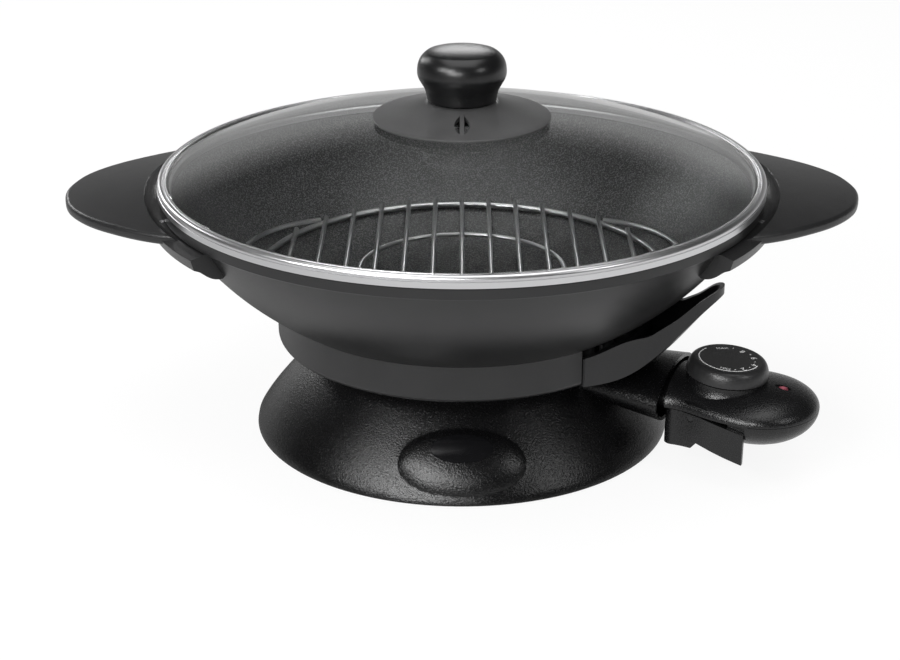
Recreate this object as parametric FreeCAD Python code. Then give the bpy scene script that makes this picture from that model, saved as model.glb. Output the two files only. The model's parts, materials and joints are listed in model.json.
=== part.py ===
import FreeCAD, Part
import math
import os

V = FreeCAD.Vector
UP = V(0, 0, 1)

# An electric wok: a pedestal base, a cast bowl with its element locked on it, a glass lid,
# a wire rack, and a pull-out thermostat probe with a dial and a squeeze trigger.
# Millimetres, +Z up, origin on the table under the bowl's centre, front towards -Y.

# Driving dimensions
running_gap = 0.3            # between pieces of bodies that move past each other
shaft_gap = 0.06             # radial, for a shaft in its hole
seat_gap = 0.05              # between pieces of one body that follow a curved face
bowl_top_r = 181.15          # flank just under the flange
flange_reach = 2.85          # flange band, out from the flank
flange_top = 158.0
flange_high = 7.1
bowl_wall = 4.0
bowl_flat_r = 45.0           # flat bottom
bowl_floor = 63.0            # underside of the flat bottom
bowl_waist_r = 116.07        # where the flank turns into the bottom
bowl_waist_z = 83.05
flank_slope = 60.7           # degrees at the flange
waist_slope = 31.7           # degrees at the waist
rim_reach = 1.0              # lid rim, out from the flange
rim_height = 7.0
rim_cover = 3.0              # steel outside the glass's edge
glass_thick = 4.0
dome_rise = 34.6             # crown above the glass's edge
collar_r = 115.5
collar_bottom = 59.5
collar_thick = 3.0
collar_edge_r = 4.0
dish_thick = 2.5
seat_z = 54.6                # where the bowl's dish rests on the base
seat_r = 84.6
shell_wall = 3.0
base_ctrl_r = 118.6          # the pedestal's curve bends towards this point
base_ctrl_z = 23.2
base_lip_r = 130.2
base_lip_z = 3.4
base_foot_r = 130.65
foot_proud = 1.0             # rubber feet lift the shell off the table
foot_r = 8.0
foot_circle_r = 115.0
probe_azimuth = -23.0
spout_in, spout_out = 78.0, 141.0          # along the probe's axis
spout_in_half, spout_out_half = 25.5, 39.0
spout_in_rise, spout_out_rise = 12.5, 16.0
spout_in_z, spout_out_z = 47.3, 44.0
spout_wall = 2.5
boss_half, boss_slope_half = 41.2, 27.0    # the front boss, an ellipsoid
boss_deep, boss_proud = 14.0, 4.0
boss_r, boss_z, boss_tilt = 116.4, 22.2, 50.5
badge_half, badge_slope_half = 18.3, 8.9
badge_thick, badge_proud = 2.0, 0.5
badge_up = 7.9               # from the boss's centre, up the slope
element_r, element_tube = 80.0, 3.3
terminal_gap = 13.0          # from the probe's axis to each terminal
terminal_z = 44.0
pin_r, pin_end = 2.4, 129.0
block_in, block_out, block_half = 96.0, 109.0, 23.0
block_foot_half, block_foot = 16.4, 3.0     # narrower below, clear of the spout's wall
block_gap = 1.5              # to the slot that it drops through
block_screw_s, block_screw_y = 102.5, 18.5
socket_half, socket_in = 9.0, 74.0
sensor_r = 4.0
shield_sector = 29.0         # degrees each side of the probe's axis
shield_slot = 0.5            # degrees left open beside it
shield_wall = 2.6
handle_gap = 0.6             # from the flange to the handles' inside
handle_lean = 8.4            # from there out to the handles' top edge
handle_reach = 50.0          # on to the tip
handle_fall = 5.4            # the tip lies this much lower
handle_crown_r = 560.0       # the handles are arched across
handle_thick = 7.0
handle_round = 2.8
screw_bed = 2.3              # handle material clamped under a lug
bracket_sector = 38.0
lug_reach, lug_half = 3.85, 6.0
lug_thick = 5.5
lug_spread = 18.0            # degrees each side of a handle's middle
stud_r, stud_lug_r, stud_lug_half = 8.0, 14.0, 4.0
stud_end, stud_lug_thick = 32.0, 4.2
hub_bore_r, hub_r, hub_end = 14.6, 18.0, 40.0
lock_r, lock_grip_r, lock_bottom = 30.0, 25.0, 19.0
knob_lift = 10.5             # knob's underside above the crown
knob_high = 32.0
knob_root_r, knob_neck_r, knob_r = 20.9, 22.5, 26.9
skirt_r, skirt_drop = 54.0, 9.4
skirt_wall = 1.6
bolt_r = 2.5
spacer_r = 6.0
rack_r, rack_inner_r = 127.0, 64.0
rack_wire, rod_wire = 2.0, 1.5             # wire radii
rod_pitch, rods_each_side = 18.1, 6
weld = 0.25                  # how far crossing wires sink into each other
loop_reach, loop_half_angle = 138.0, 42.0
split_z = 42.0               # where the probe's two shells meet
body_in, body_mid, body_round = 143.0, 192.5, 37.1
body_drop = 21.5
body_wall = 2.2
nose_in, nose_end = 112.0, 150.0
nose_half, nose_rise = 24.0, 10.0
sleeve_r = 3.3
dial_s, dial_z, dial_tilt = 173.2, 58.6, 4.0
dial_r, dial_face_r, dial_high = 24.9, 21.2, 9.2
turret_r, turret_flare = 24.0, 8.5
dial_shaft_r = 3.0
lamp_s, lamp_long, lamp_wide = 207.8, 10.7, 5.6
lamp_floor = 53.4
gland_angle, gland_drop, gland_dip = 65.0, 6.0, 26.6
gland_r = 5.0
trigger_pivot_s, trigger_pivot_z = 160.0, 38.0
trigger_pin_r = 2.0
trigger_front, trigger_tip = 142.2, 194.0
trigger_wall = 3.0
keel_half, keel_bottom = 21.5, 31.0
screw_r = 2.0                # M4 shank
small_screw_r = 1.5          # M3 shank

# What seats on the bowl's flange, and so on up
flange_r = bowl_top_r + flange_reach
flange_bottom = flange_top - flange_high
rim_r = flange_r + rim_reach
rim_bottom = flange_top + running_gap
glass_edge_r = rim_r - rim_cover
glass_edge_top = rim_bottom + rim_height - 1.9
glass_crown = glass_edge_top + dome_rise
knob_bottom = glass_crown + knob_lift
knob_top = knob_bottom + knob_high
skirt_edge = knob_bottom - skirt_drop
handle_foot_r = flange_r + handle_gap
handle_inner_r = handle_foot_r + handle_lean
handle_tip = handle_inner_r + handle_reach
handle_top_in = flange_top - 1.0
handle_top_out = handle_top_in - handle_fall
lug_r = bowl_top_r + lug_reach
lug_top = flange_bottom - 1.4
lug_low = lug_top - lug_thick
collar_screw_r = collar_r - 11.5
shield_screw_r = collar_r - 10.5
block_low = terminal_z - 4.0
block_screw_seat = block_low + 2.2


def seg(a, b):
    return Part.LineSegment(a, b).toShape()


def face_of(start, moves):
    # a closed face in the XZ plane; a move is (x, z), ("arc", mid, end) or ("bend", control, end)
    edges, here = [], V(start[0], 0, start[1])
    for move in moves + [start]:
        if move[0] == "arc":
            mid, end = (V(p[0], 0, p[1]) for p in move[1:])
            edges.append(Part.Arc(here, mid, end).toShape())
        elif move[0] == "bend":
            ctrl, end = (V(p[0], 0, p[1]) for p in move[1:])
            curve = Part.BezierCurve()
            curve.setPoles([here, ctrl, end])
            edges.append(curve.toShape())
        else:
            end = V(move[0], 0, move[1])
            if (end - here).Length < 1e-6:
                continue
            edges.append(seg(here, end))
        here = end
    return Part.Face(Part.Wire(edges))


def turned(start, moves, sweep=360.0, begin=0.0):
    solid = face_of(start, moves).revolve(V(), UP, sweep)
    solid.rotate(V(), UP, begin)
    return solid


def block(x0, x1, y0, y1, z0, z1):
    return Part.makeBox(x1 - x0, y1 - y0, z1 - z0, V(x0, y0, z0))


def post(r, x, y, z0, z1):
    return Part.makeCylinder(r, z1 - z0, V(x, y, z0))


def ring(r_in, r_out, z0, z1):
    return turned((r_in, z0), [(r_out, z0), (r_out, z1), (r_in, z1)])


def spun(shape, degrees):
    turned_copy = shape.copy()
    turned_copy.rotate(V(), UP, degrees)
    return turned_copy


def around(shape, angles):
    return [spun(shape, a) for a in angles]


def at_probe(shape):
    return spun(shape, probe_azimuth)


def oval(s, half, rise, z):
    # an ellipse across the probe's axis, as a wire
    wide, centre = (half, rise), V(s, 0, z)
    if wide[0] >= wide[1]:
        curve = Part.Ellipse(V(s, wide[0], z), V(s, 0, z + wide[1]), centre)
    else:
        curve = Part.Ellipse(V(s, 0, z + wide[1]), V(s, wide[0], z), centre)
    return Part.Wire([curve.toShape()])


def ellipsoid(x, y, z):
    scale = FreeCAD.Matrix()
    scale.scale(x, y, z)
    return Part.makeSphere(1.0).transformGeometry(scale)


def screw(head_r, head_high, shank_r, shank_long):
    # head below, shank upwards from z = 0
    drive = post(head_r * 0.45, 0, 0, -head_high, -head_high * 0.4)
    return post(head_r, 0, 0, -head_high, 0).fuse(post(shank_r, 0, 0, -0.01, shank_long)).cut(drive)


def moved(shape, x, y, z):
    shifted = shape.copy()
    shifted.translate(V(x, y, z))
    return shifted


def meet(p, p_angle, q, q_angle):
    # where the line through p at one slope crosses the line through q at another
    dp, dq = (math.radians(p_angle), math.radians(q_angle))
    px, pz, qx, qz = math.cos(dp), math.sin(dp), math.cos(dq), math.sin(dq)
    k = ((q[0] - p[0]) * qz - (q[1] - p[1]) * qx) / (px * qz - pz * qx)
    return (p[0] + k * px, p[1] + k * pz)


def bowl_line(inward):
    # the bowl's outside from the flat bottom to the flange, shifted inwards square to itself
    def shift(point, slope):
        a = math.radians(slope)
        return (point[0] - inward * math.sin(a), point[1] + inward * math.cos(a))
    flat = shift((bowl_flat_r, bowl_floor), 0.0)
    waist = shift((bowl_waist_r, bowl_waist_z), waist_slope)
    top = shift((bowl_top_r, flange_bottom), flank_slope)
    return flat, meet(flat, 0.0, waist, waist_slope), waist, meet(waist, waist_slope, top, flank_slope), top


def bowl_height(r, inward):
    # height of the shifted line at radius r
    flat, low, waist, high, top = bowl_line(inward)
    a, b, c = (flat, low, waist) if r < waist[0] else (waist, high, top)
    lo, hi = 0.0, 1.0
    for _ in range(40):
        t = (lo + hi) / 2
        if (1 - t) ** 2 * a[0] + 2 * t * (1 - t) * b[0] + t * t * c[0] < r:
            lo = t
        else:
            hi = t
    return (1 - t) ** 2 * a[1] + 2 * t * (1 - t) * b[1] + t * t * c[1]


def bowl_outer():
    # the bowl filled, a seat gap larger than it is
    flat, low, waist, high, top = bowl_line(-seat_gap)
    return turned((0, flat[1]), [flat, ("bend", low, waist), ("bend", high, top),
                                 (top[0], flange_top + 40), (0, flange_top + 40)])


# ---------- base ----------

def pedestal(inset):
    # the pedestal's outline turned about the axis, inset by a wall
    return turned((0, foot_proud + inset), [
        (base_foot_r - inset, foot_proud + inset), (base_lip_r - inset, base_lip_z + inset),
        ("bend", (base_ctrl_r - 0.8 * inset, base_ctrl_z - 0.75 * inset),
         (seat_r - 0.9 * inset, seat_z - inset)), (0, seat_z - inset)])


def spout(inset):
    ends = [oval(spout_in, spout_in_half - inset, spout_in_rise - inset, spout_in_z),
            oval(spout_out, spout_out_half - inset, spout_out_rise - inset, spout_out_z)]
    solid = Part.makeLoft(ends, True, True)
    if inset:
        for wire, way in ((ends[0], V(-30, 0, 0)), (ends[1], V(2, 0, 0))):
            solid = solid.fuse(Part.Face(wire).extrude(way))
    return solid


def boss_frame(shape):
    # from the boss's own frame (x across, y up the slope, z outwards) to its place on the front
    placed = shape.copy()
    placed.rotate(V(), V(1, 0, 0), boss_tilt)
    placed.translate(V(0, -boss_r, boss_z))
    return placed


def bulge(rise):
    return moved(ellipsoid(boss_half, boss_slope_half, boss_deep), 0, 0, boss_proud - boss_deep + rise)


def badge_column(grow):
    curve = Part.Ellipse(V(0, badge_up, 0), badge_half + grow, badge_slope_half + grow)
    return Part.Face(Part.Wire([curve.toShape()])).extrude(V(0, 0, 20))


def base_badge():
    # follows the boss's surface, a little proud of it
    return boss_frame(badge_column(0.0).common(bulge(badge_proud)).cut(bulge(badge_proud - badge_thick)))


def badge_pocket():
    return boss_frame(badge_column(0.15).cut(bulge(badge_proud - badge_thick)))


def dish_envelope():
    # the room that the bowl's dish, collar and shield take above the base, with a clearance
    shelf, low = collar_r - collar_edge_r - 11, collar_bottom - 1.1
    return turned((0, seat_z), [
        (seat_r + 2, seat_z), (shelf, low), (collar_r + 4, low), (collar_r + 7.5, low + 0.9),
        (collar_r + 7.5, seat_z + 60), (0, seat_z + 60)])


def base_shell():
    front_boss = boss_frame(bulge(0)).common(block(-60, 60, -200, 0, foot_proud, 60))
    outside = pedestal(0).fuse([at_probe(spout(0)), front_boss])
    inside = pedestal(shell_wall)
    open_bottom = post(base_foot_r - shell_wall, 0, 0, foot_proud - 1, foot_proud + shell_wall + 1)
    hollow = inside.fuse([open_bottom, at_probe(spout(spout_wall))])
    shell = outside.cut(hollow).cut(dish_envelope())
    foot_posts = around(post(foot_r + 1.5, foot_circle_r, 0, foot_proud + 2.0, 45), (45, 135, 225, 315))
    ribs = around(block(seat_r - 22, base_foot_r - 6, -1, 1, 24, seat_z), (20, 75, 105, 165, 195, 255, 285))
    hub = post(hub_r, 0, 0, hub_end, seat_z - shell_wall + 0.1)
    stiffening = Part.makeCompound(foot_posts + ribs + [hub])
    bulk = pedestal(shell_wall / 2)
    shell = shell.fuse([s.common(bulk) for s in stiffening.Solids])
    shell = shell.cut(post(hub_bore_r, 0, 0, hub_end - 1, seat_z + 1))
    shell = shell.cut(around(post(3.0, foot_circle_r, 0, foot_proud, 10), (45, 135, 225, 315)))
    for half, low in ((block_half, block_low - 1), (block_foot_half, block_low - block_foot - 1)):
        slot_half = half + block_gap
        drop_slot = block(socket_in - 3, block_out + 10.5, -slot_half, slot_half, low, seat_z + 20)
        shell = shell.cut(at_probe(drop_slot))
    shell = shell.cut(badge_pocket())
    shell = shell.cut(around(post(small_screw_r, 38, 0, seat_z - 8, seat_z - 0.6), (90, 210, 330)))
    return max(shell.removeSplitter().Solids, key=lambda s: s.Volume)


def base_feet():
    foot = turned((0, 0), [(foot_r - 1, 0), (foot_r, 1), (foot_r, foot_proud + 2.0),
                           (3.0, foot_proud + 2.0), (3.0, 9), (0, 9)])
    foot.translate(V(foot_circle_r, 0, 0))
    return around(foot, (45, 135, 225, 315))


# ---------- bowl ----------

def handle_lug(grow, low, high):
    # a flat lug with a round end, standing out from the flank
    half, root = lug_half + grow, bowl_top_r - 5 - 40 * grow
    return block(root, lug_r, -half, half, low, high).fuse(post(half, lug_r, 0, low, high))


def bowl():
    flat, low, waist, high, top = bowl_line(0.0)
    in_flat, in_low, in_waist, in_high, in_top = bowl_line(bowl_wall)
    skin = turned((0, bowl_floor), [
        flat, ("bend", low, waist), ("bend", high, top), (flange_r - 0.6, flange_bottom + 0.2),
        (flange_r, flange_bottom + 0.9), (flange_r, flange_top - 0.8), (flange_r - 0.8, flange_top),
        (in_top[0] + 0.6, flange_top), (in_top[0], flange_top - 0.6), in_top,
        ("bend", in_high, in_waist), ("bend", in_low, in_flat), (0, in_flat[1])])
    below = [post(16, 0, 0, seat_z + 3, bowl_floor + 1)]
    below.append(turned((element_r - 6.5, bowl_floor - 3.2), [
        (element_r + 6.5, bowl_floor - 3.2), (element_r + 9, bowl_floor + 8), (element_r - 9, bowl_floor + 8)]))
    below += around(post(7, collar_screw_r, 0, collar_bottom + dish_thick, 90), collar_screw_angles())
    below += around(post(5.5, shield_screw_r, 0, collar_bottom + 6, 90), shield_screw_angles())
    below += [at_probe(post(4.5, block_screw_s, side * block_screw_y, 67, 90)) for side in (-1, 1)]
    socket = block(socket_in, block_in, -socket_half, socket_half, terminal_z - 6.5, 90)
    below.append(at_probe(socket))
    inside_room = turned((0, in_flat[1] - 1), [(in_flat[0], in_flat[1] - 1), ("bend", (in_low[0], in_low[1] - 1),
                         (in_waist[0], in_waist[1] - 1)), (in_waist[0], 300), (0, 300)])
    cast = [piece.cut(inside_room) for piece in below]
    lug = handle_lug(0.0, lug_low, lug_top).cut(post(screw_r, lug_r, 0, 0, 200))
    solid = skin.fuse(cast + around(lug, lug_angles()))
    half = math.degrees(math.asin((terminal_gap + element_tube) / element_r))
    groove = turned((element_r - element_tube, 0), [
        (element_r + element_tube, 0), (element_r + element_tube, element_z()),
        ("arc", (element_r, element_z() + element_tube), (element_r - element_tube, element_z()))],
        360 - 2 * half, half + probe_azimuth)
    inner_y, outer_y = terminal_gap - element_tube - 0.4, terminal_gap * 2
    leg_room = [at_probe(block(element_r - 8, 125, min(a, b), max(a, b), terminal_z, bowl_floor + bowl_wall))
                for a, b in ((inner_y, outer_y), (-inner_y, -outer_y))]
    solid = solid.cut([groove] + leg_room)
    well = Part.makeCylinder(sensor_r + 0.3, 40, V(socket_in + 4, 0, terminal_z), V(1, 0, 0))
    solid = solid.cut([at_probe(well), post(bolt_r, 0, 0, 0, bowl_floor + 2.5)])
    drilled = around(post(screw_r, collar_screw_r, 0, 0, 72), collar_screw_angles())
    drilled += around(post(small_screw_r, shield_screw_r, 0, 0, 75), shield_screw_angles())
    drilled += [at_probe(post(small_screw_r, block_screw_s, side * block_screw_y, 0, 74)) for side in (-1, 1)]
    return max(solid.cut(drilled).Solids, key=lambda s: s.Volume)


def element_z():
    return bowl_floor - 3.2 + element_tube + 0.2


def lug_angles():
    return [azimuth + side for azimuth in (0, 180) for side in (-lug_spread, lug_spread)]


def collar_screw_angles():
    return [probe_azimuth + a for a in (45, 135, 225, 315)]


def shield_screw_angles():
    return [probe_azimuth - 22.5, probe_azimuth + 22.5]


def heating_element():
    # a ring of tube whose two ends turn outwards side by side to the terminal block
    bend, z = 7.0, element_z()
    centre_s = math.sqrt((element_r + bend) ** 2 - (terminal_gap + bend) ** 2)
    touch_s = centre_s * element_r / (element_r + bend)
    touch_y = (terminal_gap + bend) * element_r / (element_r + bend)
    edges = []
    for side in (1, -1):
        corner = V(centre_s, side * (terminal_gap + bend), z)
        ends = [V(centre_s, side * terminal_gap, z), V(touch_s, side * touch_y, z)]
        middle = (ends[0] + ends[1]) * 0.5 - corner
        middle = corner + middle.normalize() * bend
        leg = seg(V(block_in + 3, side * terminal_gap, z), ends[0])
        edges.append([leg, Part.Arc(ends[0], middle, ends[1]).toShape()])
    around_ring = Part.Arc(V(touch_s, touch_y, z), V(-element_r, 0, z), V(touch_s, -touch_y, z)).toShape()
    path = Part.Wire(edges[0] + [around_ring] + edges[1][::-1])
    section = Part.Wire([Part.Circle(V(block_in + 3, terminal_gap, z), V(1, 0, 0), element_tube).toShape()])
    return at_probe(path.makePipeShell([section], True, False))


def terminal_pins():
    pins = []
    for side in (-1, 1):
        pin = Part.makeCylinder(pin_r, pin_end - block_in - 4, V(block_in + 4, side * terminal_gap, terminal_z), V(1, 0, 0))
        tip = Part.makeSphere(pin_r, V(pin_end, side * terminal_gap, terminal_z))
        pins.append(at_probe(pin.fuse(tip)))
    return pins


def terminal_block():
    body = block(block_in, block_out, -block_half, block_half, block_low, 67)
    body = body.fuse(block(block_in, block_out, -block_foot_half, block_foot_half, block_low - block_foot, 67))
    room = block(block_in + 4, block_out + 1, -block_half + 2.5, block_half - 2.5, terminal_z + 6, 62)
    body = body.cut(room)
    z = element_z()
    holes = [Part.makeCylinder(sensor_r + 0.6, 30, V(block_in - 1, 0, terminal_z), V(1, 0, 0))]
    for side in (-1, 1):
        y = side * terminal_gap
        holes.append(Part.makeCylinder(element_tube, 4, V(block_in - 1, y, z), V(1, 0, 0)))
        holes.append(Part.makeCylinder(pin_r, 30, V(block_in + 4, y, terminal_z), V(1, 0, 0)))
        holes.append(post(small_screw_r, block_screw_s, side * block_screw_y, 0, 80))
        holes.append(post(3.1, block_screw_s, side * block_screw_y, block_low - 5, block_screw_seat))
    return at_probe(body.cut(holes))


def block_screws():
    long = 73 - block_screw_seat
    return [at_probe(moved(screw(2.8, 1.8, small_screw_r, long), block_screw_s, side * block_screw_y, block_screw_seat))
            for side in (-1, 1)]


# ---------- collar and probe shield ----------

def collar():
    r, z, t, e = collar_r, collar_bottom, collar_thick, collar_edge_r
    shelf = r - e - 12
    top_out, top_in = bowl_height(r, 0.0), bowl_height(r - t, 0.0)
    dish = turned((17, seat_z), [
        (seat_r + 1.5, seat_z), (shelf, z), (r - e, z), ("arc", (r - 0.3 * e, z + 0.3 * e), (r, z + e)),
        (r, top_out - 0.05), (r - t, top_in - 0.05), (r - t, z + dish_thick), (shelf, z + dish_thick),
        (seat_r, seat_z + dish_thick), (17, seat_z + dish_thick)])
    wedge = turned((r - t - 0.5, 0), [(r + 20, 0), (r + 20, 100), (r - t - 0.5, 100)],
                   2 * (shield_sector + shield_slot), probe_azimuth - shield_sector - shield_slot)
    window = at_probe(block(socket_in - 3, r + 5, -block_half - 4, block_half + 4, 0, 100))
    holes = around(post(screw_r, collar_screw_r, 0, 0, 100), collar_screw_angles())
    holes += around(post(3.6, shield_screw_r, 0, 0, 100), shield_screw_angles())
    return dish.cut([wedge, window] + holes)


def collar_screws():
    return around(moved(screw(4.0, 2.2, screw_r, 11), collar_screw_r, 0, collar_bottom), collar_screw_angles())


def shield_section(inset):
    # radius and height of the scoop: its keel line below, its rim line above
    line = [(-0.5, -0.5), (6.0, 0.8), (13.0, 3.7), (21.0, 10.5), (34.0, 26.0), (45.5, 40.6), (56.5, 52.0)]
    return [(collar_r + r, collar_bottom + z + inset) for r, z in line]


def shield_rim():
    # its upper edge hangs below the bowl, then climbs away from it to the nose
    line = [(-0.5, 17.4), (6.0, 21.3), (11.5, 25.2), (18.0, 27.6), (21.8, 28.4), (25.5, 31.0), (33.5, 37.6),
            (43.5, 47.6), (50.0, 52.2), (56.5, 54.8)]
    return [(collar_r + r, collar_bottom + z) for r, z in line]


def spline(points):
    curve = Part.BSplineCurve()
    curve.interpolate([V(p[0], 0, p[1]) for p in points])
    return curve.toShape()


def shield_sweep(lower, upper):
    # the space between the two lines, turned about the bowl's axis
    low, high = spline(lower), spline(upper)
    sides = [seg(V(lower[-1][0], 0, lower[-1][1]), V(upper[-1][0], 0, upper[-1][1])),
             seg(V(upper[0][0], 0, upper[0][1]), V(lower[0][0], 0, lower[0][1]))]
    face = Part.Face(Part.Wire(Part.__sortEdges__([low, sides[0], high, sides[1]])))
    solid = face.revolve(V(), UP, 2 * shield_sector)
    solid.rotate(V(), UP, probe_azimuth - shield_sector)
    return solid


def drawn_in(points, inset):
    # the points of an outline, each moved square to it, to the right of the way it runs
    moved_points = []
    for i, (x, y) in enumerate(points):
        (ax, ay), (bx, by) = points[max(i - 1, 0)], points[min(i + 1, len(points) - 1)]
        length = math.hypot(bx - ax, by - ay)
        moved_points.append(V(x + inset * (by - ay) / length, y - inset * (bx - ax) / length, 0))
    return moved_points


def tongue(inset):
    # the scoop's outline from above: wide at the collar, narrowing to a rounded nose
    a = math.radians(shield_sector)
    half = [((collar_r - 1) * math.cos(a), (collar_r - 1) * math.sin(a))]
    half += [(collar_r + s, t) for s, t in ((2.5, 44.5), (19.5, 32.5), (35.5, 23.0), (46.5, 14.0), (51.3, 6.5))]
    points = drawn_in(half + [(collar_r + 52.6, 0.0)] + [(x, -y) for x, y in half[::-1]], inset)
    curve = Part.BSplineCurve()
    curve.interpolate(points)
    corners = [points[-1], V(60, points[-1].y, 0), V(60, points[0].y, 0), points[0]]
    edges = [curve.toShape()] + [seg(corners[i], corners[i + 1]) for i in range(3)]
    return at_probe(Part.Face(Part.Wire(edges)).extrude(V(0, 0, 200)))


def probe_shield():
    wall = shield_wall
    full = shield_sweep(shield_section(0.0), shield_rim()).common(tongue(0))
    lower = [(collar_r + 3.0, collar_bottom - 0.1 + wall)] + shield_section(wall)[1:]
    low, high = spline(lower), flange_top
    corners = [V(lower[-1][0], 0, lower[-1][1]), V(lower[-1][0], 0, high), V(lower[0][0], 0, high),
               V(lower[0][0], 0, lower[0][1])]
    edges = [low] + [seg(corners[i], corners[i + 1]) for i in range(3)]
    scoop = Part.Face(Part.Wire(edges)).revolve(V(), UP, 2 * shield_sector)
    scoop.rotate(V(), UP, probe_azimuth - shield_sector)
    full = full.cut(scoop.common(tongue(wall)))
    root_low, root_high = collar_bottom + 0.4, shield_rim()[0][1]
    root = turned((collar_r - collar_thick, root_low), [
        (collar_r, root_low), (collar_r, root_high), (collar_r - collar_thick, root_high)],
        2 * shield_sector, probe_azimuth - shield_sector)
    full = full.fuse(root)
    tab = turned((shield_screw_r - 6.5, collar_bottom + 3.5), [(collar_r - collar_thick + 0.5, collar_bottom + 3.5),
                 (collar_r - collar_thick + 0.5, collar_bottom + 6), (shield_screw_r - 6.5, collar_bottom + 6)],
                 9, -4.5)
    tabs = around(tab.cut(post(small_screw_r, shield_screw_r, 0, 0, 100)), shield_screw_angles())
    joined = full.fuse(tabs).cut(bowl_outer())
    return max(joined.Solids, key=lambda s: s.Volume)


def shield_screws():
    return around(moved(screw(2.8, 1.8, small_screw_r, 10), shield_screw_r, 0, collar_bottom + 3.5), shield_screw_angles())


# ---------- handles ----------

def handle_outline():
    # from above: distances back from the tip and half widths
    line = [(0, 0), (2.4, 17), (6.5, 30), (13.5, 42), (23.5, 54), (37.5, 66), (55.0, 78.0), (77.0, 88.5)]
    points = [V(handle_tip - x, -y, 0) for x, y in line[:0:-1]] + [V(handle_tip - x, y, 0) for x, y in line]
    curve = Part.BSplineCurve()
    curve.interpolate(points)
    root = bowl_top_r - 70
    closing = [points[-1], V(root, line[-2][1], 0), V(root, -line[-2][1], 0), points[0]]
    return Part.Face(Part.Wire([curve.toShape()] + [seg(closing[i], closing[i + 1]) for i in range(3)]))


def handle_slab():
    # a plate that is arched across and falls towards the tip
    slope, side = handle_fall / handle_reach, 100.0
    start, length = bowl_top_r - 80, handle_reach + 110
    edges = []
    for drop, way in ((0.0, 1), (handle_thick, -1)):
        crown = handle_top_in + (handle_inner_r - start) * slope - drop
        sag = side ** 2 / (2 * handle_crown_r)
        ends = [V(start, -way * side, crown - sag), V(start, way * side, crown - sag)]
        edges.append((ends, Part.Arc(ends[0], V(start, 0, crown), ends[1]).toShape()))
    (top, top_arc), (low, low_arc) = edges
    face = Part.Face(Part.Wire([top_arc, seg(top[1], low[0]), low_arc, seg(low[1], top[0])]))
    return face.extrude(V(length, 0, -slope * length))


def handle():
    slab = handle_slab().common(handle_outline().extrude(V(0, 0, 300)))
    slab = slab.makeFillet(handle_round, [e for e in slab.Edges if e.Length > 200])
    foot_z, in_r = flange_bottom - 0.3, bowl_top_r - 70
    bite = turned((in_r, foot_z), [
        (handle_foot_r, foot_z), ("bend", (handle_inner_r - 3.5, foot_z + 0.8),
                                  (handle_inner_r - 0.3, handle_top_in - 1.0)),
        ("arc", (handle_inner_r + 0.3, handle_top_in - 0.2), (handle_inner_r + 1.2, handle_top_in + 0.1)),
        (handle_inner_r + 1.2, 200), (in_r, 200)])
    paddle = slab.cut(bite)
    low_r = handle_foot_r - 12.6
    bracket = turned((low_r, bowl_height(low_r, 0.0) - 2.5), [
        ("bend", (handle_foot_r - 5.1, foot_z - 17.1), (handle_foot_r + 1.2, foot_z - 10.2)),
        (handle_foot_r + 5.9, foot_z - 8.0), (handle_foot_r + 7.9, foot_z - 1.6),
        (handle_foot_r, foot_z), (handle_foot_r - 8, foot_z), (low_r - 8, foot_z - 10.6)],
        2 * bracket_sector, -bracket_sector)
    solid = paddle.fuse(bracket).cut(bowl_outer())
    pocket = handle_lug(0.2, lug_low, lug_top + 0.2).fuse(post(screw_r, lug_r, 0, 100, lug_top + 2.5))
    pocket = pocket.fuse(post(4.1, lug_r, 0, 100, lug_low - screw_bed))
    solid = solid.cut(around(pocket, (-lug_spread, lug_spread)))
    return max(solid.Solids, key=lambda s: s.Volume)


def handle_screws():
    one = moved(screw(3.8, 2.4, screw_r, lug_top + 1.5 - lug_low + screw_bed), lug_r, 0, lug_low - screw_bed)
    return around(one, lug_angles())


# ---------- quick-release lock under the base ----------

def bayonet_stud():
    flange_z = seat_z + 3
    stud = post(15.5, 0, 0, seat_z + 0.3, flange_z).fuse(post(stud_r, 0, 0, stud_end, flange_z - 1))
    lugs = block(-stud_lug_r, stud_lug_r, -stud_lug_half, stud_lug_half, stud_end, stud_end + stud_lug_thick)
    lugs = lugs.common(post(stud_lug_r, 0, 0, stud_end, stud_end + 5))
    bore = post(bolt_r, 0, 0, 0, 100).fuse(post(4.6, 0, 0, 0, stud_end + 5))
    return stud.fuse(lugs).cut(bore)


def stud_screw():
    head = screw(4.4, 3.5, bolt_r, bowl_floor - stud_end - 3)
    return moved(head, 0, 0, stud_end + 5)


def lock_knob():
    top = hub_end - running_gap
    web = stud_end + stud_lug_thick + running_gap
    body = turned((0, lock_bottom + 6), [
        (lock_grip_r - 3, lock_bottom + 6), (lock_grip_r - 2, lock_bottom), (lock_grip_r, lock_bottom),
        (lock_grip_r + 0.6, web), (lock_r, web), (lock_r, top), (hub_r + 4, top), (hub_r + 4, top + 6),
        (hub_r + shaft_gap, top + 6), (hub_r + shaft_gap, top), (0, top)])
    grip = block(-3.2, 3.2, -lock_grip_r + 2, lock_grip_r - 2, lock_bottom, lock_bottom + 7)
    well = post(stud_lug_r + 1.0, 0, 0, lock_bottom + 9, web)
    keyhole = post(stud_r + 0.5, 0, 0, web - 1, top + 1)
    keyhole = keyhole.fuse(block(-stud_lug_half - 0.5, stud_lug_half + 0.5, -stud_lug_r - 0.6, stud_lug_r + 0.6,
                                 web - 1, top + 1))
    flutes = around(post(2.5, lock_grip_r + 1.4, 0, lock_bottom - 1, web - 1), range(0, 360, 30))
    return body.fuse(grip).cut([well, keyhole] + flutes)


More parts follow.
